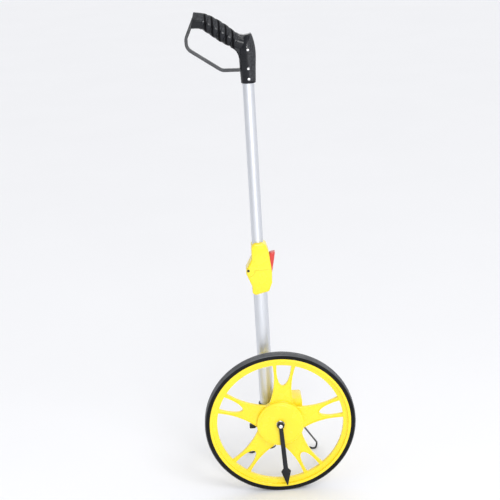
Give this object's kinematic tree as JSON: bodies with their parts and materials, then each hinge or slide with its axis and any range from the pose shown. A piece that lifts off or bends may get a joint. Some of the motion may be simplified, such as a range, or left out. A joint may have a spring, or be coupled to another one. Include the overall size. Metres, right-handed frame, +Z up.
{
  "type": "measuring wheel",
  "caption": "Folding walking measuring wheel: spoked wheel with plumb pointer, geared digit counter, tube with latched hinge, pistol-grip handle and wire stand.",
  "frame": {"origin": "point where the tread meets the ground, straight below the axle and in the middle of the tyre", "axes": "+X the way the user walks, +Y from the wheel to the tube and counter along the axle, +Z up along the tube"},
  "size_m": [0.3183, 0.1973, 1.015],
  "materials": {
    "tyre_rubber": "moulded, satin",
    "yellow_plastic": "moulded, glossy",
    "black_plastic": "moulded, satin with fine texture",
    "anodised_tube": "satin anodised",
    "zinc_steel": "zinc plated",
    "spring_steel": "bright wire",
    "black_steel": "black, semi-gloss",
    "red_plastic": "moulded, glossy",
    "nylon": "natural nylon",
    "drum_plastic": "moulded, matte",
    "clear_window": "clear polycarbonate"
  },
  "bodies": {
    "root": {"axle": "zinc_steel", "axle_nut": "zinc_steel", "axle_washer": "zinc_steel", "clamp_screws": "zinc_steel", "counter_housing": "yellow_plastic", "cover_screws": "zinc_steel", "drum_shaft": "zinc_steel", "pinion_shaft": "zinc_steel", "transfer_pinions": "nylon", "fold_pin": "black_steel", "housing_cover": "yellow_plastic", "hub_bracket": "black_plastic", "joint_lower_half": "yellow_plastic", "lower_joint_pins": "zinc_steel", "lower_tube": "anodised_tube", "pointer_screw": "zinc_steel", "reset_pin": "zinc_steel", "reset_spring": "spring_steel", "retaining_clip": "spring_steel", "spacer": "zinc_steel", "tube_end_plug": "black_plastic", "window": "clear_window"},
    "wheel": {"tyre": "tyre_rubber", "wheel_moulding": "yellow_plastic", "hub_cover": "yellow_plastic", "front_bush": "nylon", "rear_bush": "nylon", "drive_gear": "nylon"},
    "pointer": {"pointer": "black_plastic"},
    "mast": {"upper_tube": "anodised_tube", "joint_upper_half": "yellow_plastic", "upper_joint_pins": "zinc_steel", "handle_front_shell": "black_plastic", "handle_rear_shell": "black_plastic", "handle_screws": "zinc_steel", "knuckle_guard": "black_plastic", "latch_pin": "zinc_steel", "latch_spring": "spring_steel"},
    "latch": {"latch_lever": "red_plastic"},
    "stand": {"stand_wire": "black_steel"},
    "reset": {"reset_lever": "black_plastic"},
    "tenths_wheel": {"input_gear": "nylon", "tenths_drum": "drum_plastic"},
    "ones_wheel": {"ones_drum": "drum_plastic"},
    "tens_wheel": {"tens_drum": "drum_plastic"},
    "hundreds_wheel": {"hundreds_drum": "drum_plastic"},
    "thousands_wheel": {"thousands_drum": "drum_plastic"}
  },
  "joints": [
    {"name": "wheel_spin", "type": "hinge", "parent": "root", "child": "wheel", "pos_m": [0, 0, 0.15915], "axis": [0, 1, 0], "continuous": true},
    {"name": "pointer_swing", "type": "hinge", "parent": "root", "child": "pointer", "pos_m": [0, -0.0166, 0.15915], "axis": [0, 1, 0], "continuous": true},
    {"name": "mast_fold", "type": "hinge", "parent": "root", "child": "mast", "pos_m": [-0.0472, 0.045, 0.4924], "axis": [0, -1, 0], "range_deg": [0, 170]},
    {"name": "latch_press", "type": "hinge", "parent": "mast", "child": "latch", "pos_m": [-0.0048, 0.045, 0.5064], "axis": [0, -1, 0], "range_deg": [0, 12], "stiffness_Nm_per_rad": 0.08, "springref_deg": -17.19},
    {"name": "stand_fold", "type": "hinge", "parent": "root", "child": "stand", "pos_m": [0.008, 0.066, 0.11815], "axis": [1, 0, 0], "range_deg": [0, 128]},
    {"name": "reset_press", "type": "hinge", "parent": "root", "child": "reset", "pos_m": [-0.021, 0.0195, 0.14516], "axis": [0, -1, 0], "range_deg": [0, 12], "stiffness_Nm_per_rad": 0.08, "springref_deg": -17.19},
    {"name": "tenths_spin", "type": "hinge", "parent": "root", "child": "tenths_wheel", "pos_m": [0.01497, 0.035, 0.18515], "axis": [0, 1, 0], "continuous": true},
    {"name": "ones_spin", "type": "hinge", "parent": "root", "child": "ones_wheel", "pos_m": [0.01497, 0.035, 0.18515], "axis": [0, 1, 0], "continuous": true},
    {"name": "tens_spin", "type": "hinge", "parent": "root", "child": "tens_wheel", "pos_m": [0.01497, 0.035, 0.18515], "axis": [0, 1, 0], "continuous": true},
    {"name": "hundreds_spin", "type": "hinge", "parent": "root", "child": "hundreds_wheel", "pos_m": [0.01497, 0.035, 0.18515], "axis": [0, 1, 0], "continuous": true},
    {"name": "thousands_spin", "type": "hinge", "parent": "root", "child": "thousands_wheel", "pos_m": [0.01497, 0.035, 0.18515], "axis": [0, 1, 0], "continuous": true}
  ],
  "couplings": [
    {"joint": "tenths_spin", "follows": "wheel_spin", "ratio": -1},
    {"joint": "ones_spin", "follows": "wheel_spin", "ratio": -0.1},
    {"joint": "tens_spin", "follows": "wheel_spin", "ratio": -0.01},
    {"joint": "hundreds_spin", "follows": "wheel_spin", "ratio": -0.001},
    {"joint": "thousands_spin", "follows": "wheel_spin", "ratio": -0.0001}
  ]
}
